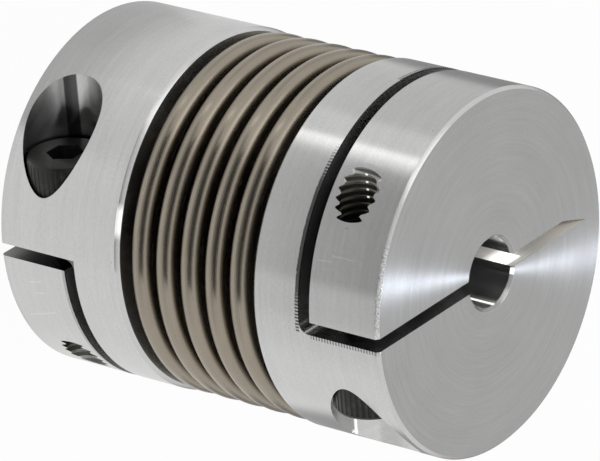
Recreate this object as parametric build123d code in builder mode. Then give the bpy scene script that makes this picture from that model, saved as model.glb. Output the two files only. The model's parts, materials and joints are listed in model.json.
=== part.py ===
"""Clamp-type bellows coupling: two split aluminium hubs joined by a steel bellows.

The coupling axis is +Z and the coupling stands on the lower hub's end face, with its
origin at the centre of that face.  Both clamp slits open towards -Y and both cap
screws lie along X.  All sizes are millimetres.

The two hubs and their screws are alike.  Each is drawn once as the upper one, about
the coupling's mid plane, and the lower one is the same piece turned half a turn
about the Y axis.
"""

import os
from math import sqrt

from build123d import *

# Hubs
hub_diameter = 33.3
hub_length = 13.55
end_chamfer = 0.3
inner_chamfer = 0.35
bore_diameter = 6.35
bore_chamfer = 0.3
hub_spacing = 14.9  # between the hubs' inner faces

# Clamp: an axial slit meets a cross slot that frees one ear of the hub
slit_width = 1.2
clamp_width = 7.3  # end face to cross slot
cross_slot_width = 1.2
slot_corner_radius = 1.0  # where the cross slot's floor meets its blind side

# Relief kerf behind the bore, left by the slitting saw as it rises out of the hub
saw_diameter = 40.0
saw_rim_bevel = 2.6  # radius lost across the blade, on the freed ear's side
kerf_rim = 2.25  # metal left on the end face between the kerf's tip and the outside

# Cap screw, M4 with a hexagon socket
screw_diameter = 4.0
screw_length = 12.0
screw_point_chamfer = 0.5
head_diameter = 7.0
head_height = 4.0
head_chamfer = 0.35
hexagon_width = 3.0  # across flats
hexagon_depth = 2.0

# Screw's place and room in the hub
screw_inset = 4.7  # hub's outside to the screw axis
screw_end_distance = 4.65  # end face to screw axis
seat_distance = 4.5  # slit's mid plane to the seat under the head
head_clearance = 0.25  # radial, head in counterbore
shank_clearance = 0.25  # radial, shank in the plain hole
thread_clearance = 0.05  # radial, shank in the tapped hole at its major diameter

# Bellows
convolution_count = 5
convolution_pitch = 2.72
crest_width = 1.9
crest_inset = 0.15  # hub's outside to the crests
fold_depth = 4.5  # crests to the outside of the cuffs and of the valleys
bellows_wall = 0.2

# Sockets turned in the hubs' inner faces, where the bellows' cuffs are bonded
socket_depth = 3.0
bond_gap = 0.05  # radial, filled with adhesive

# Heights above the mid plane, and radii, worked out from the sizes above
hub_radius = hub_diameter / 2
bore_radius = bore_diameter / 2
crest_radius = hub_radius - crest_inset
root_radius = crest_radius - fold_depth
socket_radius = root_radius + bond_gap
screw_offset = hub_radius - screw_inset
inner_face_z = hub_spacing / 2
socket_floor_z = inner_face_z + socket_depth
end_face_z = inner_face_z + hub_length
cross_slot_top_z = end_face_z - clamp_width
cross_slot_floor_z = cross_slot_top_z - cross_slot_width
screw_z = end_face_z - screw_end_distance

# Cuts that leave the hub run this far past it
run_out = 1.0
clear_radius = hub_radius + run_out
clear_z = end_face_z + run_out


with BuildPart() as hub:
    # Turned blank with the bore and the bellows' socket
    with BuildSketch(Plane.XZ):
        with BuildLine():
            Polyline(
                (bore_radius, socket_floor_z),
                (socket_radius, socket_floor_z),
                (socket_radius, inner_face_z),
                (hub_radius - inner_chamfer, inner_face_z),
                (hub_radius, inner_face_z + inner_chamfer),
                (hub_radius, end_face_z - end_chamfer),
                (hub_radius - end_chamfer, end_face_z),
                (bore_radius + bore_chamfer, end_face_z),
                (bore_radius, end_face_z - bore_chamfer),
                close=True,
            )
        make_face()
    revolve(axis=Axis.Z)

    # Cross slot, straight through under the ear, with the lower edge of its blind side
    # rounded
    with BuildSketch(Plane.XZ) as cross_slot:
        with Locations((slit_width / 2, cross_slot_floor_z)):
            Rectangle(clear_radius + slit_width / 2, cross_slot_width, align=(Align.MAX, Align.MIN))
        fillet(cross_slot.vertices().group_by(Axis.Y)[0].sort_by(Axis.X)[-1], slot_corner_radius)
    extrude(amount=clear_radius, both=True, mode=Mode.SUBTRACT)

    # Axial slit, from the hub's front to its axis and down to the cross slot
    with BuildSketch(Plane.XZ):
        with Locations((0, cross_slot_top_z)):
            Rectangle(slit_width, clear_z - cross_slot_top_z, align=(Align.CENTER, Align.MIN))
    extrude(amount=clear_radius, mode=Mode.SUBTRACT)

    # Relief kerf: the blade dips to the cross slot and leaves the end face at the
    # kerf's tip.  Its bevelled rim draws the kerf's end to a point.
    saw_radius = saw_diameter / 2
    saw_z = cross_slot_top_z + saw_radius
    saw_y = hub_radius - kerf_rim - sqrt(saw_radius**2 - (saw_z - end_face_z) ** 2)
    with Locations(Location((0, saw_y, saw_z), (0, 90, 0))):
        Cone(saw_radius - saw_rim_bevel, saw_radius, slit_width, mode=Mode.SUBTRACT)

    # Screw's counterbore, plain hole and tapped hole, on one axis along X
    screw_plane = Plane((0, -screw_offset, screw_z), x_dir=(0, 1, 0), z_dir=(1, 0, 0))
    with BuildSketch(screw_plane.offset(seat_distance)):
        Circle(head_diameter / 2 + head_clearance)
    extrude(amount=clear_radius - seat_distance, mode=Mode.SUBTRACT)
    with BuildSketch(screw_plane):
        Circle(screw_diameter / 2 + shank_clearance)
    extrude(amount=seat_distance, mode=Mode.SUBTRACT)
    with BuildSketch(screw_plane):
        Circle(screw_diameter / 2 + thread_clearance)
    extrude(amount=-clear_radius, mode=Mode.SUBTRACT)


with BuildPart() as screw:
    # Head, shank and point, turned about the screw's axis
    shank_radius = screw_diameter / 2
    head_radius = head_diameter / 2
    head_top_x = seat_distance + head_height
    point_x = seat_distance - screw_length
    with BuildSketch(Plane((0, -screw_offset, screw_z), x_dir=(1, 0, 0), z_dir=(0, -1, 0))):
        with BuildLine():
            Polyline(
                (point_x, 0),
                (point_x, shank_radius - screw_point_chamfer),
                (point_x + screw_point_chamfer, shank_radius),
                (seat_distance, shank_radius),
                (seat_distance, head_radius),
                (head_top_x - head_chamfer, head_radius),
                (head_top_x, head_radius - head_chamfer),
                (head_top_x, 0),
                close=True,
            )
        make_face()
    revolve(axis=Axis((0, -screw_offset, screw_z), (1, 0, 0)))

    # Hexagon socket
    with BuildSketch(screw_plane.offset(head_top_x)):
        RegularPolygon(hexagon_width / 2, 6, major_radius=False)
    extrude(amount=-hexagon_depth, mode=Mode.SUBTRACT)


with BuildPart() as bellows:
    # The outside meridian from cuff to cuff, with the wall inside it
    first_crest_z = -(convolution_count - 1) / 2 * convolution_pitch
    with BuildSketch(Plane.XZ):
        with BuildLine():
            outline = [(root_radius, -socket_floor_z)]
            for index in range(convolution_count):
                crest_z = first_crest_z + index * convolution_pitch
                low_z = crest_z - crest_width / 2
                high_z = crest_z + crest_width / 2
                outline += [
                    (root_radius, low_z),
                    (crest_radius, low_z),
                    (crest_radius, high_z),
                    (root_radius, high_z),
                ]
            outline.append((root_radius, socket_floor_z))
            Polyline(outline)
            offset(amount=bellows_wall, side=Side.LEFT, kind=Kind.INTERSECTION)
        make_face()
    revolve(axis=Axis.Z)


upper_place = Location((0, 0, end_face_z))
lower_place = upper_place * Location((0, 0, 0), (0, 180, 0))

sub_parts = {
    "lower_hub": hub.part.moved(lower_place),
    "upper_hub": hub.part.moved(upper_place),
    "bellows": bellows.part.moved(upper_place),
    "lower_clamp_screw": screw.part.moved(lower_place),
    "upper_clamp_screw": screw.part.moved(upper_place),
}

os.makedirs("parts", exist_ok=True)
for name, part in sub_parts.items():
    part.label = name
    export_step(part, f"parts/{name}.step")
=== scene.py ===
"""A clamp-type bellows coupling, dressed for the studio.

Two turned and slit aluminium hubs, each with an M4 socket cap screw across its clamp
slit, are joined by a thin steel bellows.  The coupling axis is +Z and the slits open
towards -Y.  The upper hub is the one that is described, and the lower one is the same
hub turned half a turn about the Y axis at mid height.  The pieces and the studio are
built in metres.  The plan and the finishes work in millimetres and degrees.
"""

from __future__ import annotations

import json
import logging
import math
from collections.abc import Callable, Iterable
from dataclasses import dataclass
from enum import Enum
from typing import Any, Union

import bpy
from mathutils import Matrix, Quaternion, Vector

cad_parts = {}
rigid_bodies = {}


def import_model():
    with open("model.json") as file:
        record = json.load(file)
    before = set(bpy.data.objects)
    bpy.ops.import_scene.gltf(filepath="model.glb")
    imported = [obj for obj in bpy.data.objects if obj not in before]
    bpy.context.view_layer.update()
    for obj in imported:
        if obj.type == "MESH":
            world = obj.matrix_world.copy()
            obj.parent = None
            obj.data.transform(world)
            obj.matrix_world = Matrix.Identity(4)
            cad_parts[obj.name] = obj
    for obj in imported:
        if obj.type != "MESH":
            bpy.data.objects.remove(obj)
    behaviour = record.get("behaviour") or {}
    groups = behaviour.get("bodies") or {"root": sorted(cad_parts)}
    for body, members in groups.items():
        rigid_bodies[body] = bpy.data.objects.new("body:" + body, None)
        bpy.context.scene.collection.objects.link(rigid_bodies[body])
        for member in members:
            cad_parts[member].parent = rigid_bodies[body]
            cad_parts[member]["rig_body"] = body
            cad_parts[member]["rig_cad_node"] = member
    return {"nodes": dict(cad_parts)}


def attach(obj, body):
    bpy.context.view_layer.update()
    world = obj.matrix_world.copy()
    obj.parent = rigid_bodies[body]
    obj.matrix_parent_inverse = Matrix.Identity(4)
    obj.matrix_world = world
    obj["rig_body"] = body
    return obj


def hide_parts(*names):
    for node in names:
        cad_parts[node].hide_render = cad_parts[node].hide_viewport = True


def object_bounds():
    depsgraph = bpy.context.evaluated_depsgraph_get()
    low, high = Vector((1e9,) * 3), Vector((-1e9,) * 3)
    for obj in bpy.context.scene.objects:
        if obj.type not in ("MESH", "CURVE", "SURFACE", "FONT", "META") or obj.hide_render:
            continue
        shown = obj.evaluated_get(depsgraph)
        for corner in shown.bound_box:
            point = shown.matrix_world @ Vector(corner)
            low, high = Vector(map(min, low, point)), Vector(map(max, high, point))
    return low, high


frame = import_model()
CAD_BOX = [list(corner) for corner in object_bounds()]

LOG = logging.getLogger("bellows_coupling")
MM = 0.001
TIGHT = 1e-6  # metres within which two places count as one
SLACK = 0.01  # millimetres by which a mask on the surface reaches past a cut's own faces

Colour = tuple[float, float, float, float]


def grey(level: float) -> Colour:
    """Return a neutral colour of one linear level."""
    return level, level, level, 1.0


class Side(Enum):
    """Which hub a piece belongs to."""

    LOWER = "lower"
    UPPER = "upper"


@dataclass(frozen=True)
class Plan:
    """The sizes that several pieces share, in millimetres, as they lie in the upper hub."""

    end: float  # the end face's height, which is also the coupling's length
    hub_radius: float
    hub_length: float = 13.55
    end_chamfer: float = 0.3
    inner_chamfer: float = 0.35
    bore_radius: float = 3.175
    bore_chamfer: float = 0.3
    cut_width: float = 1.2  # of the slit, the cross slot and the kerf
    clamp_width: float = 7.3  # end face to cross slot
    screw_inset: float = 4.7  # hub's outside to the screw's axis
    screw_depth: float = 4.65  # end face to the screw's axis
    seat: float = 4.5  # slit's mid plane to the seat under the screw's head
    well_radius: float = 3.75  # of the head's counterbore
    hole_radius: float = 2.05  # of the tapped hole
    thread_pitch: float = 0.7

    @staticmethod
    def of_frame() -> "Plan":
        """Return the plan with the CAD solids' own length and radius, to a thousandth."""
        reach, _, top = CAD_BOX[1]
        return Plan(end=round(top / MM, 3), hub_radius=round(reach / MM, 3))

    @property
    def middle(self) -> float:
        """The coupling's mid height."""
        return self.end / 2

    @property
    def inner_face(self) -> float:
        """The height of the hub's face beside the bellows."""
        return self.end - self.hub_length

    @property
    def slot_top(self) -> float:
        """The height of the cross slot's upper side."""
        return self.end - self.clamp_width

    @property
    def slot_floor(self) -> float:
        """The height of the cross slot's lower side."""
        return self.slot_top - self.cut_width

    @property
    def screw_y(self) -> float:
        """Where the screw's axis lies along Y."""
        return self.screw_inset - self.hub_radius

    @property
    def screw_z(self) -> float:
        """The height of the screw's axis."""
        return self.end - self.screw_depth

    def half_turn(self) -> Matrix:
        """Return the half turn about the Y axis at mid height, from upper to lower."""
        centre = Matrix.Translation((0, 0, self.middle * MM))
        return centre @ Matrix.Rotation(math.pi, 4, "Y") @ centre.inverted()


# ---------------------------------------------------------------- shader arithmetic


class Signal:
    """A socket that takes part in shader arithmetic through Python's operators."""

    def __init__(self, desk: "Desk", socket: bpy.types.NodeSocket) -> None:
        """Wrap a socket of one material's nodes.

        Args:
            desk: The material's node desk.
            socket: An output socket on it.
        """
        self.desk = desk
        self.socket = socket

    def _math(self, operation: str, *values: "Value") -> "Signal":
        """Add one Math node.

        Args:
            operation: The Math node's operation.
            values: Its inputs in order.

        Returns:
            The node's result.
        """
        node = self.desk.node("ShaderNodeMath", {"operation": operation}, dict(enumerate(values)))
        return Signal(self.desk, node.outputs[0])

    def __add__(self, other: "Value") -> "Signal":
        """Return self + other."""
        return self._math("ADD", self, other)

    def __radd__(self, other: "Value") -> "Signal":
        """Return other + self."""
        return self._math("ADD", other, self)

    def __sub__(self, other: "Value") -> "Signal":
        """Return self - other."""
        return self._math("SUBTRACT", self, other)

    def __rsub__(self, other: "Value") -> "Signal":
        """Return other - self."""
        return self._math("SUBTRACT", other, self)

    def __mul__(self, other: "Value") -> "Signal":
        """Return self * other."""
        return self._math("MULTIPLY", self, other)

    def __rmul__(self, other: "Value") -> "Signal":
        """Return other * self."""
        return self._math("MULTIPLY", other, self)

    def __truediv__(self, other: "Value") -> "Signal":
        """Return self / other."""
        return self._math("DIVIDE", self, other)

    def __pow__(self, other: "Value") -> "Signal":
        """Return self raised to other."""
        return self._math("POWER", self, other)

    def __abs__(self) -> "Signal":
        """Return the size of self."""
        return self._math("ABSOLUTE", self)

    def __lt__(self, other: "Value") -> "Signal":
        """Return 1 where self is below other, else 0."""
        return self._math("LESS_THAN", self, other)

    def __gt__(self, other: "Value") -> "Signal":
        """Return 1 where self is above other, else 0."""
        return self._math("GREATER_THAN", self, other)

    def angle(self, other: "Value") -> "Signal":
        """Return the angle, in degrees, of a point with self upwards and other to the right."""
        return self._math("ARCTAN2", self, other) * math.degrees(1)

    def fraction(self) -> "Signal":
        """Return self less its whole part."""
        return self._math("FRACT", self)

    def at_least(self, other: "Value") -> "Signal":
        """Return the larger of self and other."""
        return self._math("MAXIMUM", self, other)

    def ramp(self, low: float, high: float) -> "Signal":
        """Return 0 at low and 1 at high, eased between them and held beyond.

        Args:
            low: Where the result is 0.
            high: Where the result is 1; it may be under low.

        Returns:
            The eased value.
        """
        node = self.desk.node(
            "ShaderNodeMapRange",
            {"interpolation_type": "SMOOTHSTEP"},
            {"Value": self, "From Min": low, "From Max": high},
        )
        return Signal(self.desk, node.outputs[0])


Value = Union[Signal, float, int]


class Desk:
    """The nodes of one material or world, with the one method that adds a node."""

    def __init__(self, tree: bpy.types.NodeTree) -> None:
        """Clear a node tree and take it over.

        Args:
            tree: The tree to fill.
        """
        tree.nodes.clear()
        self.tree = tree

    def node(self, kind: str, settings: dict[str, Any], sockets: dict[Any, Any]) -> bpy.types.Node:
        """Add a node, set it up and feed its sockets.

        Args:
            kind: The node's type.
            settings: Its properties.
            sockets: A number, colour, Signal or socket for each input, by name or index.

        Returns:
            The new node.
        """
        node = self.tree.nodes.new(kind)
        for name, setting in settings.items():
            setattr(node, name, setting)
        for key, value in sockets.items():
            source = value.socket if isinstance(value, Signal) else value
            if isinstance(source, bpy.types.NodeSocket):
                self.tree.links.new(source, node.inputs[key])
            else:
                node.inputs[key].default_value = source
        return node

    def axes(self) -> tuple[Signal, Signal, Signal]:
        """Return the object coordinates in millimetres."""
        place = self.node("ShaderNodeTexCoord", {}, {}).outputs["Object"]
        large = self.node("ShaderNodeVectorMath", {"operation": "SCALE"}, {0: place, "Scale": 1 / MM})
        parts = self.node("ShaderNodeSeparateXYZ", {}, {0: large.outputs[0]}).outputs
        return Signal(self, parts[0]), Signal(self, parts[1]), Signal(self, parts[2])

    def vector(self, x: Value, y: Value, z: Value) -> bpy.types.NodeSocket:
        """Return a vector made of three values."""
        return self.node("ShaderNodeCombineXYZ", {}, {0: x, 1: y, 2: z}).outputs[0]

    def noise(self, place: bpy.types.NodeSocket, scale: float, detail: float = 2.0) -> Signal:
        """Return fractal noise between 0 and 1.

        Args:
            place: Where to read it.
            scale: Its frequency.
            detail: How many octaves it has.

        Returns:
            The noise value.
        """
        node = self.node("ShaderNodeTexNoise", {}, {"Vector": place, "Scale": scale, "Detail": detail})
        return Signal(self, node.outputs[0])

    def specks(self, place: bpy.types.NodeSocket, scale: float, size: float, share: float) -> Signal:
        """Return small round marks strewn over the surface.

        Args:
            place: Where to read them.
            scale: Cells per unit length.
            size: A mark's radius as a share of its cell.
            share: The share of cells that hold a mark.

        Returns:
            1 inside a mark and 0 outside.
        """
        cells = self.node("ShaderNodeTexVoronoi", {}, {"Vector": place, "Scale": scale})
        colour = self.node("ShaderNodeSeparateColor", {}, {0: cells.outputs["Color"]})
        chosen = Signal(self, colour.outputs[0]) < share
        return Signal(self, cells.outputs["Distance"]).ramp(size, 0.4 * size) * chosen

    def tint(self, factor: Value, first: Any, second: Any) -> bpy.types.NodeSocket:
        """Return a colour between two colours.

        Args:
            factor: 0 for the first, 1 for the second.
            first: A colour or a colour socket.
            second: A colour or a colour socket.

        Returns:
            The mixed colour.
        """
        node = self.node("ShaderNodeMix", {"data_type": "RGBA"}, {0: factor, 6: first, 7: second})
        return node.outputs[2]

    def bump(self, height: Value, depth: float, strength: float = 1.0) -> bpy.types.NodeSocket:
        """Return a normal bent by a height field.

        Args:
            height: The field, 0 to 1.
            depth: The height of 1, in metres.
            strength: How much of it shows.

        Returns:
            The bent normal.
        """
        node = self.node("ShaderNodeBump", {}, {"Height": height, "Distance": depth, "Strength": strength})
        return node.outputs[0]

    def scaled(self, colour: Any, factor: Value) -> bpy.types.NodeSocket:
        """Return a colour, or a colour socket, made lighter or darker by a factor."""
        plain = colour[:3] if isinstance(colour, tuple) else colour
        settings = {"operation": "SCALE"}
        return self.node("ShaderNodeVectorMath", settings, {0: plain, "Scale": factor}).outputs[0]

    def seen(self) -> Signal:
        """Return 1 to the eye and in reflections and refractions, and 0 for fill light."""
        path = self.node("ShaderNodeLightPath", {}, {}).outputs
        kinds = ("Is Camera Ray", "Is Glossy Ray", "Is Transmission Ray")
        eye, glossy, through = (Signal(self, path[kind]) for kind in kinds)
        return eye.at_least(glossy).at_least(through)

    def glow(self, colour: Any) -> None:
        """Finish the material as one that only gives off light of a colour."""
        light = self.node("ShaderNodeEmission", {}, {"Color": colour, "Strength": 1.0})
        self.node("ShaderNodeOutputMaterial", {}, {"Surface": light.outputs[0]})

    def surface(self, sockets: dict[str, Any]) -> None:
        """Finish the material with one Principled shader."""
        shader = self.node("ShaderNodeBsdfPrincipled", {}, sockets)
        self.node("ShaderNodeOutputMaterial", {}, {"Surface": shader.outputs[0]})


def fresh(name: str) -> tuple[bpy.types.Material, Desk]:
    """Return a new material and the desk with its nodes."""
    material = bpy.data.materials.new(name)
    material.use_nodes = True
    return material, Desk(material.node_tree)


# ------------------------------------------------------------------------- finishes


@dataclass(frozen=True)
class Span:
    """A stretch of a measure: its middle, its half width and the width of its soft edges."""

    middle: float
    half: float
    edge: float

    def over(self, value: Signal) -> Signal:
        """Return 1 where the value lies in the stretch and 0 away from it, eased between."""
        return abs(value - self.middle).ramp(self.half + self.edge, self.half)


@dataclass(frozen=True)
class Rings:
    """Noise in rings round an axis, as a tool leaves them."""

    pitch: float
    drift: float  # how fast they change on their way round
    detail: float

    def over(self, desk: Desk, along: Signal, x: Signal, y: Signal) -> Signal:
        """Return the noise between 0 and 1.

        Args:
            desk: The material's node desk.
            along: The way across the rings.
            x: Millimetres along X.
            y: Millimetres along Y.

        Returns:
            The noise.
        """
        place = desk.vector(along * (1 / self.pitch), x * self.drift, y * self.drift)
        return desk.noise(place, 1.0, self.detail)


@dataclass(frozen=True)
class Spot:
    """A point of a hub's surface in millimetres and degrees, placed as in the upper hub."""

    x: Signal
    y: Signal
    z: Signal
    radius: Signal  # from the coupling's axis
    turn: Signal  # round it, from +X towards +Y
    off: Signal  # from the screw's axis
    screw_turn: Signal  # round it, from +Y towards +Z

    @staticmethod
    def on(desk: Desk, plan: Plan, side: Side) -> "Spot":
        """Return the point that is being shaded.

        Args:
            desk: The material's node desk.
            plan: The shared sizes.
            side: The hub that wears the material.

        Returns:
            The point.
        """
        x, y, z = desk.axes()
        if side is Side.LOWER:
            x, z = x * -1, z * -1 + plan.end
        aside, height = y - plan.screw_y, z - plan.screw_z
        return Spot(
            x=x,
            y=y,
            z=z,
            radius=(x * x + y * y) ** 0.5,
            turn=y.angle(x),
            off=(aside * aside + height * height) ** 0.5,
            screw_turn=height.angle(aside),
        )


@dataclass(frozen=True)
class Scratch:
    """A bright handling scratch on an ear's outside, running nearly along the axis."""

    turn: float  # where its middle lies round the axis
    height: float
    half: float  # half its length
    slope: float = 0.0  # degrees that it runs round for each millimetre

    def over(self, spot: Spot) -> Signal:
        """Return 1 on the scratch and 0 beside it."""
        off = spot.turn - self.turn - (spot.z - self.height) * self.slope
        return Span(0.0, 0.12, 0.25).over(off) * Span(self.height, self.half, 0.4).over(spot.z)


SCRATCHES = {
    Side.UPPER: (Scratch(-114.0, 37.8, 1.0), Scratch(-112.0, 36.0, 0.6, -0.4)),
    Side.LOWER: (
        Scratch(-99.0, 38.5, 0.5, -0.8),
        Scratch(-103.0, 38.2, 0.3, -0.8),
        Scratch(-112.0, 38.8, 1.5, -1.2),
    ),
}


@dataclass(frozen=True)
class Finish:
    """What every finish shares."""

    name: str

    def material(self) -> bpy.types.Material:
        """Return a new material with this finish's nodes."""
        material, desk = fresh(self.name)
        self.draw(desk)
        return material

    def draw(self, desk: Desk) -> None:
        """Build the nodes; each finish has its own."""
        raise NotImplementedError


@dataclass(frozen=True)
class TurnedAluminium(Finish):
    """Bright aluminium off the lathe, with fine rings round the axis, duller sawn cuts, and painted shade
    and painted highlights in the cuts.
    """

    plan: Plan
    side: Side
    colour: Colour = (0.565, 0.565, 0.560, 1.0)
    worn: Colour = grey(0.80)
    pitted: Colour = grey(0.16)
    sawn: Colour = (0.72, 0.71, 0.69, 1.0)
    kerf_painted_light: Colour = (0.96, 0.93, 0.88, 1.0)  # painted light at the kerf's shallow end, where more light reaches
    hole_painted_shade: Colour = (0.27, 0.26, 0.23, 1.0)  # painted shade down the tapped hole, darker with depth
    roughness: float = 0.20
    grain: float = 1.0
    across: float = 0.25  # turns the blur across the rings
    fine: Rings = Rings(pitch=0.09, drift=0.25, detail=2.0)
    feed: Rings = Rings(pitch=0.45, drift=0.1, detail=1.0)
    cloud: tuple[float, float] = (0.22, 3.0)  # scale and detail
    grit: tuple[float, float] = (7.0, 2.0)
    tones: tuple[float, ...] = (0.16, 0.10, 0.12, 0.20)  # of fine, feed, cloud and grit in the colour
    uneven: tuple[float, float] = (0.05, 0.04)  # of fine and cloud in the roughness
    heights: tuple[float, float] = (0.6, 0.3)  # of fine and grit in the height, beside feed
    ring_depth: float = 0.6e-6  # in metres
    flecks: tuple[float, float, float] = (0.9, 0.05, 0.25)  # cells, size and share
    pits: tuple[float, float, float] = (0.7, 0.045, 0.15)
    other_grain: float = 70.0  # how far the lower hub's grain is shifted from the upper's
    skin: float = 0.15  # depth within which a face counts as the turned outside
    thread_skin: float = 0.07  # past the tapped hole's wall and short of the outside
    wall: float = 0.03  # past the counterbore's wall
    kerf_light_span: tuple[float, float] = (5.0, 11.0)  # along Y, where the painted light at the kerf's shallow end sets in
    hole_shade_span: tuple[float, float] = (-14.5, -11.0)  # along X, where the painted shade down the tapped hole sets in

    # What the cutter left along the slots' edges, and the share of the tone that stays there
    tooth_pitch: float = 0.3
    raggedness: float = 0.25
    comb_length: float = 0.36  # of the marks below the upper hub's cross slot
    comb_start: tuple[float, float] = (-150.0, -138.0)
    comb_gap: Span = Span(-118.0, 15.0, 9.0)
    comb_tone: tuple[float, float] = (0.06, 0.7)  # of a mark, and what is added between two
    band_length: float = 0.3  # of the worn band above the lower hub's cross slot
    band_tone: float = 0.45
    flank_length: float = 0.35  # of the marks beside the slit
    flank_tone: float = 0.45
    nicks: Span = Span(-104.0, 12.0, 8.0)  # on the end face's chamfer
    nick_depth: tuple[float, float] = (0.35, 1.3)  # all round, and what is added at the nicks
    # Painted shade on the bore's chamfer, in the lower hub's slit and in its well, as the share of the tone
    # that stays
    rim_shade: float = 0.60
    slit_shade: float = 0.28
    well_shadow: Span = Span(25.5, 8.0, 3.0)
    well_shade: tuple[float, float] = (0.10, 0.75)  # painted shade all round the well, and what is added in the shadow
    scratch_tone: float = 0.28

    # Painted highlights in the cuts, given off as light: where round the coupling's or the screw's axis,
    # and their level
    kerf_reach: float = 5.2  # along Y, how far the kerf's face still carries the painted glow
    kerf_glow: tuple[float, float] = (0.06, 0.9)  # down the bore, and what is added near its mouth
    kerf_mouth: tuple[float, float] = (3.7, 2.0)  # depths below the end face
    kerf_end: tuple[float, float] = (0.5, 0.9)
    bore_glint: Span = Span(5.5, 2.2, 0.8)
    bore_glint_end: tuple[float, float] = (3.2, 3.0)
    rim_glint: Span = Span(71.0, 4.0, 2.0)
    bevel_glint: Span = Span(-72.0, 2.5, 4.0)
    bevel_glow: float = 0.6
    well_glint: Span = Span(-66.0, 1.0, 2.0)
    well_glint_x: Span = Span(12.2, 0.5, 0.6)
    well_glow: float = 0.7
    crest_glint: Span = Span(-8.0, 3.0, 2.0)
    crest_reach: tuple[float, float] = (-9.8, 1.70)  # along X and from the screw's axis
    crest_glow: float = 0.8

    def draw(self, desk: Desk) -> None:
        """Rings in colour, roughness and height, marked edges, the sawn kerf, and painted shade, painted
        light and painted highlights in the cuts.
        """
        spot = Spot.on(desk, self.plan, self.side)
        shift = self.other_grain if self.side is Side.LOWER else 0.0
        along = spot.z + spot.radius + shift
        fine, feed = (rings.over(desk, along, spot.x, spot.y) for rings in (self.fine, self.feed))
        place = desk.vector(spot.x + shift, spot.y, spot.z)
        cloud, grit = desk.noise(place, *self.cloud), desk.noise(place, *self.grit)
        shade: Value = 1.0
        for noise, tone in zip((fine, feed, cloud, grit), self.tones):
            shade = (noise - 0.5) * tone + shade
        # the random tone, the marks on the edges and the painted shade in the cuts
        base = desk.scaled(self.colour, shade * self._edges(spot, grit) * self._painted_shade(spot))
        base = desk.tint(desk.specks(place, *self.flecks), base, self.worn)
        base = desk.tint(desk.specks(place, *self.pits) * 0.6, base, self.pitted)
        kerf, hole = self._kerf(spot), self._hole(spot)
        base = desk.tint(kerf, base, self.sawn)
        # painted light: the kerf turns lighter towards its shallow end
        base = desk.tint(kerf * spot.y.ramp(*self.kerf_light_span), base, self.kerf_painted_light)
        # painted shade down the tapped hole, fading out towards its mouth
        base = desk.tint(hole * spot.x.ramp(*self.hole_shade_span) * 0.9, base, self.hole_painted_shade)
        base = desk.tint(self._scratches(spot), base, self.worn)
        # painted highlights, which the surface gives off as light
        glow = self._painted_glints(spot, kerf)
        uneven = (fine - 0.5) * self.uneven[0] + (cloud - 0.5) * self.uneven[1]
        height = fine * self.heights[0] + feed + grit * self.heights[1]
        desk.surface(
            {
                "Base Color": base,
                "Metallic": 1 - kerf,
                "Roughness": uneven + self.roughness + kerf * 0.4 + hole * 0.15,
                "Anisotropic": self.grain,
                "Anisotropic Rotation": self.across,
                "Emission Color": desk.vector(glow, glow, glow * 0.97),
                "Emission Strength": 1.0,
                "Normal": desk.bump(height, self.ring_depth),
            }
        )

    def _outside(self, spot: Spot) -> Signal:
        """Return 1 on the turned outside."""
        return spot.radius > self.plan.hub_radius - self.skin

    def _sawn(self, spot: Spot) -> Signal:
        """Return 1 within the saw's width from the cross slot upwards."""
        plan = self.plan
        return (abs(spot.x) < plan.cut_width / 2 + SLACK) * (spot.z > plan.slot_floor - SLACK)

    def _kerf(self, spot: Spot) -> Signal:
        """Return 1 in the relief kerf behind the bore."""
        plan = self.plan
        behind = (spot.y > plan.bore_radius - plan.bore_chamfer) * (1 - self._outside(spot))
        return self._sawn(spot) * behind * (spot.z < plan.end - 5 * SLACK)

    def _hole(self, spot: Spot) -> Signal:
        """Return 1 in the tapped hole."""
        near = spot.off < self.plan.hole_radius + self.thread_skin
        return near * (spot.x < 0) * (spot.radius < self.plan.hub_radius - self.thread_skin)

    def _rim(self, spot: Spot) -> Signal:
        """Return 1 on the bore's chamfer at the end face."""
        plan = self.plan
        face = (spot.z > plan.end - plan.bore_chamfer - 2 * SLACK) * (spot.z < plan.end - 2 * SLACK)
        return face * (spot.radius < plan.bore_radius + plan.bore_chamfer - 1.5 * SLACK)

    def _edges(self, spot: Spot, grit: Signal) -> Signal:
        """Return the tone of the marks that the cutter and the handling left on the edges.

        Args:
            spot: The point.
            grit: Fine noise.

        Returns:
            The share of the tone that stays.
        """
        plan, outside = self.plan, self._outside(spot)
        ragged = (grit - 0.5) * self.raggedness
        brink = plan.end + plan.hub_radius - plan.end_chamfer - 6 * SLACK
        nick = self.nicks.over(spot.turn) * self.nick_depth[1] + self.nick_depth[0]
        kept = 1 - (spot.radius + spot.z > brink) * nick * (grit - 0.5)
        if self.side is Side.LOWER:
            band = (spot.z < ragged + (plan.slot_top + self.band_length)) * (spot.z > plan.slot_top - SLACK)
            band = outside * band * (spot.x < plan.cut_width / 2 - 5 * SLACK)
            return kept * (1 - band * (1 - (grit * 0.5 + self.band_tone)))
        lip = plan.cut_width / 2
        teeth = (spot.turn * (plan.hub_radius * math.radians(1) / self.tooth_pitch)).fraction() > 0.5
        band = (spot.z > ragged + (plan.slot_floor - self.comb_length)) * (spot.z < plan.slot_floor + SLACK)
        band = outside * band * (spot.x < lip + 5 * SLACK) * spot.turn.ramp(*self.comb_start)
        comb = teeth * (1 - self.comb_gap.over(spot.turn)) * self.comb_tone[1]
        comb = comb + grit * 0.25 + self.comb_tone[0]
        beside = (spot.x > lip - SLACK) * (spot.x < ragged + (lip + self.flank_length)) * (spot.y < 0)
        ticks = (spot.z * (1 / self.tooth_pitch)).fraction() > 0.45
        flank = outside * beside * (spot.z > plan.slot_top) * ticks
        return kept * (1 - band * (1 - comb)) * (1 - flank * (1 - self.flank_tone))

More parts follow.
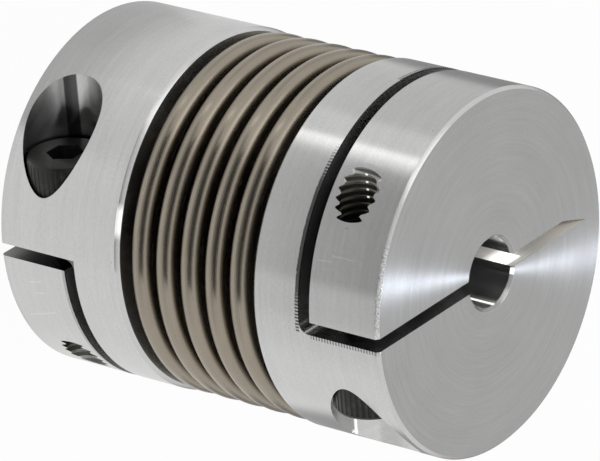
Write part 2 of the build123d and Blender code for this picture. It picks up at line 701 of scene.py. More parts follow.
    def _painted_shade(self, spot: Spot) -> Signal:
        """Return the share of the tone that stays under the painted shade on the bore's rim, in the slit
        and in the well.
        """
        plan = self.plan
        # painted shade on the bore's chamfer, toning down what it reflects
        kept = 1 - self._rim(spot) * (1 - self.rim_shade)
        if self.side is Side.UPPER:
            return kept
        # painted shade in the lower hub's slit and well
        slit = self._sawn(spot) * (spot.y < 0) * (spot.z < plan.end - 3 * SLACK)
        well = (spot.x > plan.seat - 10 * SLACK) * (spot.off < plan.well_radius + self.wall)
        shadow = self.well_shadow.over(spot.screw_turn) * self.well_shade[1] + self.well_shade[0]
        return kept * (1 - slit * (1 - self.slit_shade)) * (1 - well * shadow)

    def _scratches(self, spot: Spot) -> Signal:
        """Return how far the handling scratches on the ears brighten the metal."""
        found: Value = 0.0
        for scratch in SCRATCHES[self.side]:
            found = scratch.over(spot) + found
        return found * self._outside(spot) * self.scratch_tone

    def _painted_glints(self, spot: Spot, kerf: Signal) -> Signal:
        """Return the painted highlights in the cuts, which the surface gives off as light.

        Args:
            spot: The point.
            kerf: 1 in the relief kerf.

        Returns:
            The light's level.
        """
        plan, depth = self.plan, self.plan.end - spot.z
        mouth = depth.ramp(*self.kerf_mouth) * self.kerf_glow[1] + self.kerf_glow[0]
        far = kerf * (spot.y < self.kerf_reach) * mouth * depth.ramp(*self.kerf_end)
        wall = (spot.radius < plan.bore_radius + 2.5 * SLACK) * (depth > 20 * SLACK)
        wall = wall * self.bore_glint.over(spot.turn) * depth.ramp(*self.bore_glint_end)
        rim = self._rim(spot) * self.rim_glint.over(spot.turn) * (depth < plan.bore_chamfer)
        painted_light = far + wall + rim
        if self.side is Side.LOWER:
            brink = plan.hub_radius - plan.inner_face - plan.inner_chamfer - 4 * SLACK
            bevel = (spot.radius - spot.z > brink) * self.bevel_glint.over(spot.turn)
            return painted_light + bevel * self.bevel_glow
        well = (spot.x > plan.seat + 10 * SLACK) * (spot.off < plan.well_radius + self.wall)
        well = well * self.well_glint.over(spot.screw_turn) * self.well_glint_x.over(spot.x)
        along, across = self.crest_reach
        crests = (spot.x < along) * (spot.off < across) * (spot.radius < plan.hub_radius - 5 * SLACK)
        crests = crests * self.crest_glint.over(spot.screw_turn)
        return painted_light + well * self.well_glow + crests * self.crest_glow


@dataclass(frozen=True)
class FormedSteel(Finish):
    """Thin stainless sheet, brown from its heat treatment, drawn out in formed rings."""

    colour: Colour = (0.30, 0.266, 0.216, 1.0)
    # painted light down in the folds, a touch lighter than the sheet
    fold_painted_light: Colour = (0.30, 0.27, 0.22, 1.0)
    folds: tuple[float, float] = (16.2, 14.0)  # radii between which the painted light in the folds sets in
    roughness: float = 0.26
    grain: float = 0.8
    across: float = 0.25  # turns the blur across the lines
    lines_along: float = 9.0  # drawing lines for each millimetre of height
    lines_out: float = 3.0  # and of radius
    line_depth: float = 0.6e-6  # in metres

    def draw(self, desk: Desk) -> None:
        """Drawing lines round the axis and painted light down in the folds, a touch lighter than the sheet.
        """
        x, y, z = desk.axes()
        radius = (x * x + y * y) ** 0.5
        along = z * self.lines_along + radius * self.lines_out
        lines = desk.noise(desk.vector(along, x * 0.2, y * 0.2), 1.0, 2.0)
        cloud = desk.noise(desk.vector(x, y, z), 0.35, 2.0)
        # painted light down in the folds
        base = desk.tint(radius.ramp(*self.folds), self.colour, self.fold_painted_light)
        desk.surface(
            {
                "Base Color": desk.scaled(base, (lines - 0.5) * 0.25 + (cloud - 0.5) * 0.15 + 1.0),
                "Metallic": 1.0,
                "Roughness": (lines - 0.5) * 0.12 + self.roughness,
                "Anisotropic": self.grain,
                "Anisotropic Rotation": self.across,
                "Normal": desk.bump(lines, self.line_depth),
            }
        )


@dataclass(frozen=True)
class BlackOxide(Finish):
    """Black oxide on alloy steel, slightly rubbed, with a trace of oil."""

    colour: Colour = (0.024, 0.024, 0.023, 1.0)
    rubbed: Colour = (0.085, 0.080, 0.074, 1.0)
    roughness: float = 0.45
    oil: float = 0.1
    grit_depth: float = 4e-6  # in metres

    def draw(self, desk: Desk) -> None:
        """Cloudy black with rubbed patches."""
        place = desk.vector(*desk.axes())
        cloud, grit = desk.noise(place, 1.4, 4.0), desk.noise(place, 12.0, 2.0)
        desk.surface(
            {
                "Base Color": desk.tint(cloud.ramp(0.5, 0.75) * 0.5, self.colour, self.rubbed),
                "Metallic": 0.6,
                "Roughness": (grit - 0.5) * 0.2 + self.roughness,
                "Coat Weight": self.oil,
                "Coat Roughness": 0.3,
                "Normal": desk.bump(grit, self.grit_depth, 0.5),
            }
        )


# ------------------------------------------------------------------------ workbench


class Bench:
    """Modelling moves on one piece at a time, as made by hand in the edit mode."""

    @staticmethod
    def clear() -> None:
        """Deselect everything."""
        bpy.ops.object.select_all(action="DESELECT")

    @staticmethod
    def pick(piece: bpy.types.Object) -> None:
        """Select one piece alone and make it active."""
        Bench.clear()
        piece.select_set(True)
        bpy.context.view_layer.objects.active = piece

    @staticmethod
    def edit(piece: bpy.types.Object, kind: str) -> None:
        """Enter the edit mode on one piece, with nothing selected.

        Args:
            piece: The piece, in object mode.
            kind: What is to be selected: VERT, EDGE or FACE.
        """
        Bench.pick(piece)
        bpy.ops.object.mode_set(mode="EDIT")
        bpy.ops.mesh.select_mode(type=kind)
        bpy.ops.mesh.select_all(action="DESELECT")

    @staticmethod
    def leave() -> None:
        """Go back to the object mode."""
        bpy.ops.object.mode_set(mode="OBJECT")

    @staticmethod
    def faces(piece: bpy.types.Object, wanted: Callable[[bpy.types.MeshPolygon], bool]) -> None:
        """Enter the edit mode with the faces selected that pass a test.

        Args:
            piece: The piece, in object mode.
            wanted: The test.
        """
        Bench.edit(piece, "FACE")
        Bench.leave()
        for face in piece.data.polygons:
            face.select = wanted(face)
        bpy.ops.object.mode_set(mode="EDIT")

    @staticmethod
    def edges(piece: bpy.types.Object, wanted: Callable[[Vector, Vector], bool]) -> None:
        """Enter the edit mode with the edges selected whose ends pass a test.

        Args:
            piece: The piece, in object mode.
            wanted: The test on an edge's two ends.
        """
        Bench.edit(piece, "EDGE")
        Bench.leave()
        points = piece.data.vertices
        for edge in piece.data.edges:
            edge.select = wanted(points[edge.vertices[0]].co, points[edge.vertices[1]].co)
        bpy.ops.object.mode_set(mode="EDIT")

    @staticmethod
    def named(name: str) -> bpy.types.Object:
        """Return the piece that a primitive has just added, named and with its place in its mesh.

        Args:
            name: The piece's name.

        Returns:
            The piece.
        """
        piece = bpy.context.active_object
        piece.name = name
        piece.data.name = name
        Bench.settle(piece)
        return piece

    @staticmethod
    def settle(piece: bpy.types.Object) -> None:
        """Put the piece's place and turn into its mesh."""
        Bench.pick(piece)
        bpy.ops.object.transform_apply(location=True, rotation=True, scale=True)

    @staticmethod
    def bar(name: str, radius: float, start: float, end: float, sides: int) -> bpy.types.Object:
        """Return a plain bar along X.

        Args:
            name: Its name.
            radius: Its radius to the corners.
            start: Its low end on X.
            end: Its high end on X.
            sides: How many sides it has.

        Returns:
            The bar.
        """
        Bench.clear()
        bpy.ops.mesh.primitive_cylinder_add(
            vertices=sides,
            radius=radius,
            depth=end - start,
            location=((start + end) / 2, 0, 0),
            rotation=(0, math.pi / 2, 0),
        )
        return Bench.named(name)

    @staticmethod
    def wind(
        name: str,
        start: float,
        inner: tuple[float, float],
        outer: tuple[float, float],
        pitch: float,
        turns: int,
        steps: int,
        hollow: bool,
    ) -> bpy.types.Object:
        """Wind a ridge with a four-cornered section round the X axis.

        Args:
            name: Its name.
            start: Where the section's middle starts on X.
            inner: Half the section's width and its radius, at its inner side.
            outer: The same at its outer side.
            pitch: How far it moves on in a turn.
            turns: How many turns it makes.
            steps: How many facets a turn has.
            hollow: Whether its inner side is left open.

        Returns:
            The ridge.
        """
        Bench.clear()
        bpy.ops.mesh.primitive_plane_add(size=1.0, rotation=(math.pi / 2, 0, 0))
        ridge = Bench.named(name)
        for vertex in ridge.data.vertices:
            half, radius = inner if vertex.co.z < 0 else outer
            vertex.co.x = start + math.copysign(half, vertex.co.x)
            vertex.co.z = radius
        Bench.faces(ridge, lambda face: True)
        bpy.ops.mesh.delete(type="ONLY_FACE")
        Bench.leave()
        if hollow:
            Bench.edges(ridge, lambda a, b: max(a.z, b.z) < inner[1] + TIGHT)
            bpy.ops.mesh.delete(type="EDGE")
            Bench.leave()
        Bench.modify(
            ridge,
            "SCREW",
            axis="X",
            iterations=turns,
            screw_offset=pitch,
            steps=steps,
            render_steps=steps,
            use_merge_vertices=True,
            merge_threshold=TIGHT,
        )
        return ridge

    @staticmethod
    def modify(piece: bpy.types.Object, kind: str, **settings: Any) -> None:
        """Add a modifier, set it and apply it.

        Args:
            piece: The piece.
            kind: The modifier's type.
            settings: Its properties.
        """
        Bench.pick(piece)
        modifier = piece.modifiers.new(kind.title(), kind)
        for key, value in settings.items():
            setattr(modifier, key, value)
        bpy.ops.object.modifier_apply(modifier=modifier.name)

    @staticmethod
    def cut(piece: bpy.types.Object, tool: bpy.types.Object, operation: str) -> None:
        """Combine a piece with a tool that is used up.

        Args:
            piece: The piece that stays.
            tool: The tool, deleted afterwards.
            operation: DIFFERENCE, INTERSECT or UNION.
        """
        Bench.modify(piece, "BOOLEAN", operation=operation, object=tool, solver="EXACT")
        bpy.data.objects.remove(tool)

    @staticmethod
    def close(piece: bpy.types.Object) -> None:
        """Merge doubles and point the faces outwards."""
        Bench.faces(piece, lambda face: True)
        bpy.ops.mesh.remove_doubles(threshold=TIGHT / 10)
        bpy.ops.mesh.normals_make_consistent(inside=False)
        Bench.leave()

    @staticmethod
    def smooth(piece: bpy.types.Object, degrees: float) -> None:
        """Smooth the piece's faces and keep the edges that are sharper than an angle."""
        Bench.pick(piece)
        bpy.ops.object.shade_smooth_by_angle(angle=math.radians(degrees))

    @staticmethod
    def turned(piece: bpy.types.Object, turn: Matrix, name: str) -> bpy.types.Object:
        """Return a copy of a piece with its own mesh, turned in its mesh.

        Args:
            piece: The piece to copy.
            turn: The copy's place.
            name: The copy's name.

        Returns:
            The copy.
        """
        twin = piece.copy()
        twin.data = piece.data.copy()
        twin.name = name
        bpy.context.scene.collection.objects.link(twin)
        twin.matrix_world = turn
        Bench.settle(twin)
        return twin

    @staticmethod
    def join(pieces: Iterable[bpy.types.Object], name: str) -> bpy.types.Object:
        """Make one piece of several.

        Args:
            pieces: The pieces; the first gives the finish.
            name: The result's name.

        Returns:
            The joined piece.
        """
        first, *others = pieces
        Bench.pick(first)
        for other in others:
            other.select_set(True)
        bpy.ops.object.join()
        first.name = name
        return first


def finish_piece(piece: bpy.types.Object, finish: Finish, nodes: Iterable[str]) -> None:
    """Dress a finished piece and hand it to the frame.

    Args:
        piece: The piece.
        finish: Its finish.
        nodes: The CAD nodes that it stands for.
    """
    piece.data.materials.clear()
    piece.data.materials.append(finish.material())
    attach(piece, "root")
    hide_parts(*nodes)
    LOG.info("%s: %d faces", piece.name, len(piece.data.polygons))


# --------------------------------------------------------------------------- pieces


@dataclass
class Bellows:
    """The formed steel bellows between the hubs."""

    plan: Plan
    crest_radius: float = 16.5 * MM
    root_radius: float = 12.0 * MM
    wall: float = 0.2 * MM
    folds: int = 5
    pitch: float = 2.72 * MM
    crest_width: float = 1.9 * MM
    socket_depth: float = 3.0 * MM  # how far the cuffs reach into the hubs
    roundness: float = 0.96  # the bends' share of half a crest's or a valley's width
    facets: int = 192
    bend_steps: int = 6
    smooth_below: float = 40.0

    def build(self) -> bpy.types.Object:
        """Draw the folds out of a plain tube, round them and give the sheet its wall.

        Returns:
            The bellows.
        """
        middle = self.plan.middle * MM
        reach = (self.plan.inner_face - self.plan.middle) * MM + self.socket_depth
        Bench.clear()
        bpy.ops.mesh.primitive_cylinder_add(
            vertices=self.facets,
            radius=self.root_radius,
            depth=2 * reach,
            end_fill_type="NOTHING",
            location=(0, 0, middle),
        )
        tube = Bench.named("bellows_sheet")
        half = self.crest_width / 2
        crests = [middle + (i - (self.folds - 1) / 2) * self.pitch for i in range(self.folds)]
        sides = [crest + side for crest in crests for side in (-half, half)]
        for height in sides:
            Bench.faces(tube, lambda face: True)
            bpy.ops.mesh.bisect(plane_co=(0, 0, height), plane_no=(0, 0, 1))
            Bench.leave()
        scale = self.crest_radius / self.root_radius
        Bench.faces(tube, lambda face: any(abs(face.center.z - crest) < half * 0.9 for crest in crests))
        bpy.ops.mesh.extrude_region_move()
        bpy.ops.transform.resize(value=(scale, scale, 1), center_override=(0, 0, middle))
        Bench.leave()
        self._bend(tube, self.crest_radius, sides, self.roundness * half)
        self._bend(tube, self.root_radius, sides, self.roundness * (self.pitch / 2 - half))
        Bench.modify(tube, "SOLIDIFY", thickness=self.wall, offset=-1.0)
        Bench.close(tube)
        Bench.smooth(tube, self.smooth_below)
        return tube

    def _bend(self, tube: bpy.types.Object, radius: float, heights: list[float], bend: float) -> None:
        """Round the circular edges that lie at one radius.

        Args:
            tube: The bellows so far.
            radius: The edges' radius.
            heights: The edges' heights.
            bend: The radius of the bend.
        """

        def on_edge(a: Vector, b: Vector) -> bool:
            """Whether an edge lies on one of the circles."""
            level = abs(a.z - b.z) < TIGHT and any(abs(a.z - height) < TIGHT for height in heights)
            return level and all(abs(end.xy.length - radius) < 10 * TIGHT for end in (a, b))

        Bench.edges(tube, on_edge)
        bpy.ops.mesh.bevel(offset=bend, segments=self.bend_steps, profile=0.5, affect="EDGES")
        Bench.leave()


@dataclass
class CapScrew:
    """The M4 socket cap screw of one clamp, along X with its head towards +X."""

    plan: Plan
    length: float = 12.0 * MM
    shank_radius: float = 2.0 * MM
    minor_radius: float = 1.58 * MM
    core_radius: float = 1.60 * MM  # hides the thread's open inner side
    crown: float = 0.125  # width of the thread's crest as a share of its pitch
    neck: float = 0.9 * MM
    point: float = 0.15 * MM
    head_radius: float = 3.5 * MM
    head_height: float = 4.0 * MM
    head_chamfer: float = 0.35 * MM
    knurls: int = 40
    groove: tuple[float, float] = (0.20, 0.80)  # of a knurl's step
    groove_inset: float = 0.05 * MM
    knurl_depth: float = 0.06 * MM
    hexagon_width: float = 3.0 * MM  # across flats
    hexagon_depth: float = 2.0 * MM
    thread_steps: int = 36
    sides: int = 64
    smooth_below: float = 28.0

    def build(self) -> bpy.types.Object:
        """Build the head and the threaded shank and join them.

        Returns:
            The screw.
        """
        screw = Bench.join([self._head(), self._shank()], "upper_screw_dressed")
        screw.location = (0, self.plan.screw_y * MM, self.plan.screw_z * MM)
        Bench.settle(screw)
        Bench.smooth(screw, self.smooth_below)
        return screw

    def _head(self) -> bpy.types.Object:
        """Return the knurled head with its hexagon socket."""
        seat = self.plan.seat * MM
        top = seat + self.head_height
        head = Bench.bar("head", self.head_radius, seat, top, 4 * self.knurls)
        Bench.edges(head, lambda a, b: min(a.x, b.x) > top - TIGHT)
        bpy.ops.mesh.bevel(offset=self.head_chamfer, segments=2, affect="EDGES")
        Bench.leave()
        step = math.tau / self.knurls
        low, high = self.groove

        def in_groove(face: bpy.types.MeshPolygon) -> bool:
            """Whether a side face is one of the grooves between knurls."""
            share = math.atan2(face.center.z, face.center.y) % step / step
            return abs(face.normal.x) < 0.1 and len(face.vertices) == 4 and low < share < high

        Bench.faces(head, in_groove)
        bpy.ops.mesh.inset(thickness=self.groove_inset, depth=-self.knurl_depth, use_boundary=True)
        Bench.leave()
        corner = self.hexagon_width / math.sqrt(3)
        key = Bench.bar("hexagon", corner, top - self.hexagon_depth, top + self.hexagon_depth, 6)
        Bench.cut(head, key, "DIFFERENCE")
        return head

    def _shank(self) -> bpy.types.Object:
        """Return the neck and the thread, trimmed to the screw's length and point."""
        seat, pitch = self.plan.seat * MM, self.plan.thread_pitch * MM
        tip = seat - self.length
        start, end = tip - pitch, seat - self.neck
        tooth = Bench.wind(
            "thread",
            start,
            inner=(pitch / 2, self.minor_radius),
            outer=(self.crown * pitch / 2, self.shank_radius),
            pitch=pitch,
            turns=round((end - start) / pitch),
            steps=self.thread_steps,
            hollow=True,
        )
        Bench.close(tooth)
        core = Bench.bar("core", self.core_radius, tip, seat, self.sides)
        Bench.edges(core, lambda a, b: max(a.x, b.x) < tip + TIGHT)
        bpy.ops.mesh.bevel(offset=self.point, segments=1, affect="EDGES")
        Bench.leave()
        Bench.faces(tooth, lambda face: True)
        bpy.ops.mesh.bisect(plane_co=(tip, 0, 0), plane_no=(-1, 0, 0), clear_outer=True)
        Bench.leave()
        neck = Bench.bar("neck", self.shank_radius, seat - self.neck, seat, self.sides)
        return Bench.join([core, tooth, neck], "shank")


@dataclass
class TappedExit:
    """The open end of the tapped hole, where the thread shows past the screw's point."""

    plan: Plan
    minor_radius: float = 1.66 * MM
    start: float = -7.4 * MM
    end: float = -14.4 * MM
    embed: float = 0.04 * MM  # how far the ridge's foot is sunk into the hub
    foot: float = 0.46  # half the foot's width as a share of the pitch
    crest: float = 0.09
    thread_steps: int = 48
    blank_sides: int = 256
    blank_height: float = 12.0 * MM

    def build(self) -> bpy.types.Object:
        """Wind the thread's ridge and trim it flush with the hub's outside.

        Returns:
            The ridge.
        """
        plan, pitch = self.plan, self.plan.thread_pitch * MM
        ridge = Bench.wind(
            "thread_ridge",
            self.end,
            inner=(self.crest * pitch, self.minor_radius),
            outer=(self.foot * pitch, plan.hole_radius * MM + self.embed),
            pitch=pitch,
            turns=round((self.start - self.end) / pitch),
            steps=self.thread_steps,
            hollow=False,
        )
        Bench.edit(ridge, "EDGE")
        bpy.ops.mesh.select_non_manifold()
        bpy.ops.mesh.edge_face_add()
        Bench.leave()
        Bench.close(ridge)
        ridge.location = (0, plan.screw_y * MM, plan.screw_z * MM)
        Bench.settle(ridge)
        Bench.clear()
        bpy.ops.mesh.primitive_cylinder_add(
            vertices=self.blank_sides,
            radius=plan.hub_radius * MM,
            depth=self.blank_height,
            location=(0, 0, plan.screw_z * MM),
        )
        Bench.cut(ridge, Bench.named("blank"), "INTERSECT")
        return ridge


@dataclass
class Hub:
    """One clamp hub: the CAD solid with its edges broken and its tapped exit threaded."""

    plan: Plan
    side: Side
    edge_break: float = 0.05 * MM
    broken_above: float = 32.0  # degrees between two faces
    flat_below: float = 0.3
    smooth_below: float = 30.0
    skin: float = 0.06 * MM  # depth within which a face counts as the turned outside

    def build(self, ridge: bpy.types.Object) -> bpy.types.Object:
        """Copy the node, merge it, break its edges and add the thread's ridge.

        Args:
            ridge: The tapped exit's ridge, used up here.

        Returns:
            The hub.
        """
        node = frame["nodes"][f"{self.side.value}_hub"]
        hub = node.copy()
        hub.data = node.data.copy()
        hub.name = f"{self.side.value}_hub_dressed"
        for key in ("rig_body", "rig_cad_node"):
            if key in hub:
                del hub[key]
        hub.parent = None
        bpy.context.scene.collection.objects.link(hub)
        Bench.faces(hub, lambda face: True)
        bpy.ops.mesh.remove_doubles(threshold=TIGHT)
        bpy.ops.mesh.dissolve_limited(angle_limit=math.radians(self.flat_below))
        Bench.leave()
        Bench.modify(
            hub,
            "BEVEL",
            width=self.edge_break,
            segments=2,
            limit_method="ANGLE",
            angle_limit=math.radians(self.broken_above),
            use_clamp_overlap=True,
            miter_outer="MITER_ARC",
        )
        Bench.smooth(hub, self.smooth_below)
        Bench.modify(hub, "WEIGHTED_NORMAL", mode="FACE_AREA", weight=100, keep_sharp=True)
        self._true_outside(hub)
        Bench.smooth(ridge, self.smooth_below)
        return Bench.join([hub, ridge], hub.name)

    def _true_outside(self, hub: bpy.types.Object) -> None:
        """Point the turned outside's shading straight away from the axis.

        Args:
            hub: The hub, with its edges broken.
        """
        mesh = hub.data
        normals = [Vector(corner.vector) for corner in mesh.corner_normals]
        for face in mesh.polygons:
            if face.center.xy.length < self.plan.hub_radius * MM - self.skin or abs(face.normal.z) > 0.2:
                continue
            if face.normal.xy.normalized().dot(face.center.xy.normalized()) < 0.99:
                continue
            for corner in face.loop_indices:
                spot = mesh.vertices[mesh.loops[corner].vertex_index].co
                normals[corner] = Vector((spot.x, spot.y, 0)).normalized()
        mesh.normals_split_custom_set(normals)


# --------------------------------------------------------------------------- studio


def towards(azimuth: float, elevation: float) -> Vector:
    """Return the unit vector from the coupling towards a place in the studio.

    Args:
        azimuth: 0 stands on -Y, 90 on +X, in degrees.
        elevation: Degrees above the horizon.

    Returns:
        The direction.
    """
    a, e = math.radians(azimuth), math.radians(elevation)
    return Vector((math.sin(a) * math.cos(e), -math.cos(a) * math.cos(e), math.sin(e)))


def flat_sheet(name: str, size: float, height: float = 0.0) -> bpy.types.Object:
    """Return a square sheet that lies flat.

    Args:
        name: Its name.
        size: The length of its sides.
        height: Where it lies.

    Returns:
        The sheet.
    """
    Bench.clear()
    bpy.ops.mesh.primitive_plane_add(size=size, location=(0, 0, height))
    return Bench.named(name)


def only_reflected(sheet: bpy.types.Object) -> None:
    """Hide a sheet from everything but reflections."""
    sheet.visible_camera = False
    sheet.visible_diffuse = False
    sheet.visible_shadow = False
    sheet.visible_transmission = False


@dataclass(frozen=True)
class Flag:
    """A soft-edged sector of card that lies on the table and tones down its reflection."""

    azimuth: float  # degrees from +X
    spread: float  # half its angle
    edge: float  # how far its sides fade out, in degrees
    inner: float  # where it starts, in millimetres from the axis
    fade: float  # over how many millimetres
    tone: float

    def over(self, x: Signal, y: Signal, radius: Signal, level: Value) -> Signal:
        """Return the table's level with this flag laid on it.

        Args:
            x: Millimetres along X.
            y: Millimetres along Y.
            radius: Millimetres from the axis.
            level: The level under the flag.

        Returns:
            The level with the flag.
        """
        turn = math.radians(self.azimuth)
        facing = (x * math.cos(turn) + y * math.sin(turn)) / radius
        faded, full = (math.cos(math.radians(a)) for a in (self.spread + self.edge, self.spread))
        mask = facing.ramp(faded, full) * radius.ramp(self.inner, self.inner + self.fade)
        return mask * self.tone + (1 - mask) * level


@dataclass(frozen=True)
class Strip:
    """A bright strip of the table that one line of the hub reflects."""

    azimuth: float  # degrees from +X
    aside: float  # how far its middle passes from the axis, in millimetres
    width: float
    edge: float
    start: float
    fade: float
    tone: float

    def over(self, x: Signal, y: Signal, radius: Signal, level: Value) -> Signal:
        """Return the table's level with this strip laid on it; the arguments are as for a flag."""
        turn = math.radians(self.azimuth)
        along = x * math.cos(turn) + y * math.sin(turn)
        off = abs(y * math.cos(turn) - x * math.sin(turn) - self.aside)
        half = self.width / 2
        mask = off.ramp(half + self.edge, half) * along.ramp(self.start, self.start + self.fade)
        return mask * self.tone + (1 - mask) * level


@dataclass
class Table:
    """The cards and strips on the table round the coupling, and a painted shadow at its foot, which only
    reflections see.
    """

    laid: tuple[Union[Flag, Strip], ...] = (
        # the first sector, from 10 mm out beside the coupling's foot, is painted shadow
        Flag(azimuth=180, spread=46, edge=8, inner=10, fade=1, tone=0.62),
        Flag(azimuth=180, spread=50, edge=8, inner=22, fade=5, tone=0.95),
        Flag(azimuth=115, spread=22, edge=12, inner=16, fade=8, tone=0.87),
        Flag(azimuth=72, spread=14, edge=10, inner=14, fade=8, tone=0.70),
        Flag(azimuth=32, spread=16, edge=12, inner=14, fade=8, tone=0.78),
        Flag(azimuth=134, spread=34, edge=8, inner=48, fade=8, tone=0.74),
        Flag(azimuth=-100, spread=30, edge=30, inner=50, fade=12, tone=0.80),
        Flag(azimuth=-127, spread=30, edge=8, inner=54, fade=12, tone=0.45),
        Flag(azimuth=32, spread=26, edge=14, inner=42, fade=10, tone=0.42),
        Flag(azimuth=82, spread=28, edge=6, inner=42, fade=8, tone=0.34),
        Flag(azimuth=-113, spread=38, edge=10, inner=95, fade=50, tone=0.07),
        Strip(azimuth=-175, aside=7.54, width=4, edge=3, start=48, fade=8, tone=2.0),
    )
    foot: float = 0.35  # painted shadow: the level under the coupling
    foot_edge: tuple[float, float] = (11.0, 18.0)  # where it fades out, in millimetres
    reach: float = 0.6
    height: float = -0.01 * MM

    def build(self) -> None:
        """Lay the cards and the painted shadow down as one sheet that glows as they reflect."""
        sheet = flat_sheet("table_cards", 2 * self.reach, self.height)
        material, desk = fresh("table_cards")
        x, y, _ = desk.axes()
        radius = (x * x + y * y) ** 0.5
        # painted shadow under the coupling
        level: Value = radius.ramp(*self.foot_edge) * (1 - self.foot) + self.foot
        for card in self.laid:
            level = card.over(x, y, radius, level)
        desk.glow(desk.vector(level, level, level))
        sheet.data.materials.append(material)
        only_reflected(sheet)


@dataclass(frozen=True)
class Lamp:
    """A rectangular lamp that looks at the coupling."""

    name: str
    azimuth: float
    elevation: float
    roll: float  # its turn about its own beam, in degrees
    reach: float
    size: tuple[float, float]
    power: float  # in watts
    colour: tuple[float, float, float]

    def place(self, centre: Vector) -> None:
        """Hang the lamp.

        Args:
            centre: Where it looks.
        """
        data = bpy.data.lights.new(self.name, "AREA")
        data.shape = "RECTANGLE"
        data.size, data.size_y = self.size
        data.energy, data.color = self.power, self.colour
        lamp = bpy.data.objects.new(self.name, data)
        bpy.context.scene.collection.objects.link(lamp)
        back = towards(self.azimuth, self.elevation)
        roll = Quaternion((0, 0, 1), math.radians(self.roll))
        lamp.location = centre + back * self.reach
        lamp.rotation_mode = "QUATERNION"
        lamp.rotation_quaternion = (-back).to_track_quat("-Z", "Y") @ roll
        lamp.visible_camera = False


@dataclass(frozen=True)
class Card:
    """A reflector card that faces the coupling and that only reflections see."""

    name: str
    azimuth: float
    elevation: float
    reach: float
    size: tuple[float, float]
    level: float

    def place(self, centre: Vector) -> None:
        """Stand the card up.

        Args:
            centre: Where it faces.
        """
        back = towards(self.azimuth, self.elevation)
        card = flat_sheet(self.name, 1.0)
        card.scale = (*self.size, 1)
        card.rotation_mode = "QUATERNION"
        card.rotation_quaternion = back.to_track_quat("Z", "Y")
        card.location = centre + back * self.reach
        Bench.settle(card)
        material, desk = fresh(self.name)
        desk.glow(grey(self.level))
        card.data.materials.append(material)
        only_reflected(card)


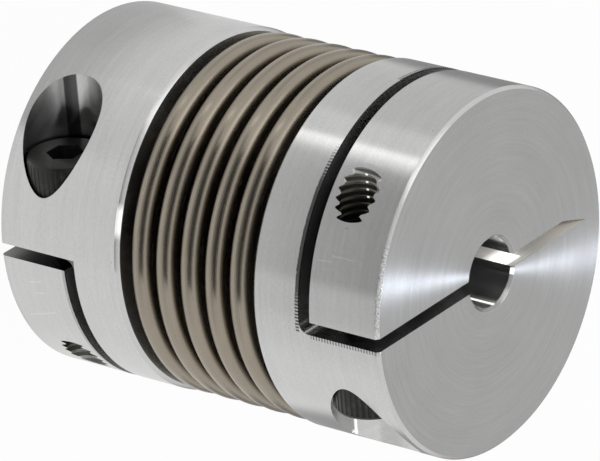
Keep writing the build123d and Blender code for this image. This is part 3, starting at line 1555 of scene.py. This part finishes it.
@dataclass
class Studio:
    """Floor, world, lamp, reflector cards and camera."""

    centre: Vector
    azimuth: float = -30.34
    elevation: float = 35.12
    roll: float = 104.006
    distance: float = 510.26 * MM
    lens: float = 343.88
    sensor: float = 36.0
    aside: tuple[float, float, float] = (0.374, -0.172, 0.064)  # aim past the centre, in mm
    fill: float = 0.55  # the world's level as light
    floor_size: float = 6.0
    floor_height: float = -0.02 * MM
    floor_level: float = 0.8
    floor_glow: float = 0.965  # the rest of what is seen of it is lit, so it takes a shadow
    props: tuple[Union[Lamp, Card], ...] = (
        Lamp(
            "strip_lamp",
            azimuth=135.0,
            elevation=66.9,
            roll=25.5,
            reach=0.6,
            size=(0.023, 0.17),
            power=0.45,
            colour=(0.80, 0.87, 1.0),
        ),
        Card("grey_backdrop", azimuth=149.0, elevation=38.0, reach=0.62, size=(1.0, 0.9), level=0.62),
        Card("dark_room", azimuth=-21.5, elevation=17.0, reach=0.9, size=(1.56, 0.92), level=0.04),
        Card("window", azimuth=-103.0, elevation=56.0, reach=0.8, size=(0.5, 0.3), level=1.9),
    )

    def camera(self) -> None:
        """Place the camera, rolled so that the coupling lies on its side."""
        back = towards(self.azimuth, self.elevation)
        level = (-back).cross(Vector((0, 0, 1))).normalized()
        raised = level.cross(-back)
        roll = math.radians(self.roll)
        right = math.cos(roll) * level + math.sin(roll) * raised
        up = back.cross(right)
        data = bpy.data.cameras.new("camera")
        data.lens, data.sensor_width = self.lens, self.sensor
        camera = bpy.data.objects.new("camera", data)
        bpy.context.scene.collection.objects.link(camera)
        aim = self.centre + Vector(self.aside) * MM
        turn = Matrix((right, up, back)).transposed().to_4x4()
        camera.matrix_world = Matrix.Translation(aim + back * self.distance) @ turn
        bpy.context.scene.camera = camera

    def world(self) -> None:
        """White for the eye and for reflections, and a softer white for the fill."""
        world = bpy.data.worlds.new("studio")
        bpy.context.scene.world = world
        world.use_nodes = True
        desk = Desk(world.node_tree)
        fill, white = (
            desk.node("ShaderNodeBackground", {}, {"Color": grey(1.0), "Strength": strength}).outputs[0]
            for strength in (self.fill, 1.0)
        )
        mix = desk.node("ShaderNodeMixShader", {}, {0: desk.seen(), 1: fill, 2: white})
        desk.node("ShaderNodeOutputWorld", {}, {"Surface": mix.outputs[0]})

    def floor(self) -> None:
        """A white floor that keeps a faint shadow of the coupling."""
        floor = flat_sheet("studio_floor", self.floor_size, self.floor_height)
        material, desk = fresh("floor_white")
        matt = desk.node("ShaderNodeBsdfDiffuse", {}, {"Color": grey(self.floor_level)}).outputs[0]
        glow = desk.node("ShaderNodeEmission", {}, {"Color": grey(1.0), "Strength": 1.0}).outputs[0]
        share = desk.seen() * self.floor_glow
        mix = desk.node("ShaderNodeMixShader", {}, {0: share, 1: matt, 2: glow})
        desk.node("ShaderNodeOutputMaterial", {}, {"Surface": mix.outputs[0]})
        floor.data.materials.append(material)

    def build(self) -> None:
        """Set up the whole studio."""
        bpy.context.scene.view_settings.view_transform = "Standard"
        self.camera()
        self.world()
        self.floor()
        Table().build()
        for prop in self.props:
            prop.place(self.centre)


def main() -> None:
    """Build, dress and report every piece."""
    logging.basicConfig(level=logging.INFO, format="%(message)s")
    plan = Plan.of_frame()

    sheet = Bellows(plan).build()
    finish_piece(sheet, FormedSteel("formed_steel"), ["bellows"])

    upper_ridge = TappedExit(plan).build()
    lower_ridge = Bench.turned(upper_ridge, plan.half_turn(), "lower_ridge")
    for side, ridge in ((Side.UPPER, upper_ridge), (Side.LOWER, lower_ridge)):
        hub = Hub(plan, side).build(ridge)
        finish = TurnedAluminium(f"{side.value}_aluminium", plan, side)
        finish_piece(hub, finish, [f"{side.value}_hub"])

    upper_screw = CapScrew(plan).build()
    lower_screw = Bench.turned(upper_screw, plan.half_turn(), "lower_screw_dressed")
    finish_piece(upper_screw, BlackOxide("black_oxide"), ["upper_clamp_screw"])
    finish_piece(lower_screw, BlackOxide("black_oxide"), ["lower_clamp_screw"])

    Studio(centre=Vector((0, 0, plan.middle * MM))).build()


if __name__ == "__main__":
    main()
